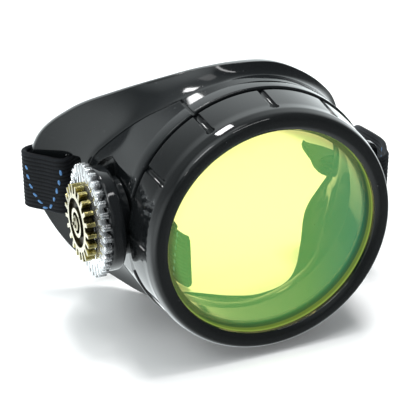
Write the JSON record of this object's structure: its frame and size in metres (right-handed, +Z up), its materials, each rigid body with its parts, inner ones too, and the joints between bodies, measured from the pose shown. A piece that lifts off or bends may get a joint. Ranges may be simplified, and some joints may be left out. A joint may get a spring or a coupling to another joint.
{
  "type": "eye-cup goggle",
  "caption": "Eye-cup goggle with a tinted lens under a screw ring, a turning vent knob that carries toothed discs, and an elastic head strap with a slider.",
  "frame": {"origin": "centre of the lens's front face", "axes": "-Y out through the lens, away from the eye; +Z up towards the brow; +X towards the nose, so the vent knob is on -X"},
  "size_m": [0.1004, 0.1162, 0.0615],
  "materials": {
    "black_plastic": "glossy moulded black",
    "ring_plastic": "mirror-gloss moulded black",
    "lens_tint": "clear yellow-green tint",
    "gasket_rubber": "matt black",
    "knob_plastic": "glossy moulded black",
    "seal_rubber": "matt black",
    "stem_plastic": "satin black",
    "chrome": "bright plated",
    "antique_brass": "antiqued, dark in its recesses",
    "rivet_brass": "antiqued",
    "temple_fabric": "ribbed black webbing",
    "nose_fabric": "ribbed black webbing",
    "elastic_fabric": "ribbed black elastic",
    "slider_plastic": "satin black"
  },
  "bodies": {
    "cup": {"cup_shell": "black_plastic", "lens_gasket": "gasket_rubber", "vent_seal": "seal_rubber", "temple_webbing": "temple_fabric", "nose_webbing": "nose_fabric", "back_elastic": "elastic_fabric"},
    "lens_pack": {"tint_lens": "lens_tint"},
    "ring": {"screw_ring": "ring_plastic"},
    "knob": {"vent_knob": "knob_plastic", "snap_stem": "stem_plastic", "chrome_gear": "chrome", "brass_gear": "antique_brass", "gear_rivet": "rivet_brass"},
    "slider": {"strap_slider": "slider_plastic"}
  },
  "joints": [
    {"name": "ring_lift", "type": "slide", "parent": "cup", "child": "lens_pack", "axis": [0, -1, 0], "range_m": [0, 0.0061]},
    {"name": "ring_turn", "type": "hinge", "parent": "lens_pack", "child": "ring", "pos_m": [0, 0, 0], "axis": [0, -1, 0], "range_deg": [0, 1080]},
    {"name": "knob_turn", "type": "hinge", "parent": "cup", "child": "knob", "pos_m": [-0.03, 0.02, 0], "axis": [-1, 0, 0], "continuous": true},
    {"name": "slider_slide", "type": "slide", "parent": "cup", "child": "slider", "axis": [1, 0, 0], "range_m": [-0.006, 0.006]}
  ],
  "couplings": [
    {"joint": "ring_lift", "follows": "ring_turn", "m_per_rad": 0.00031831}
  ]
}
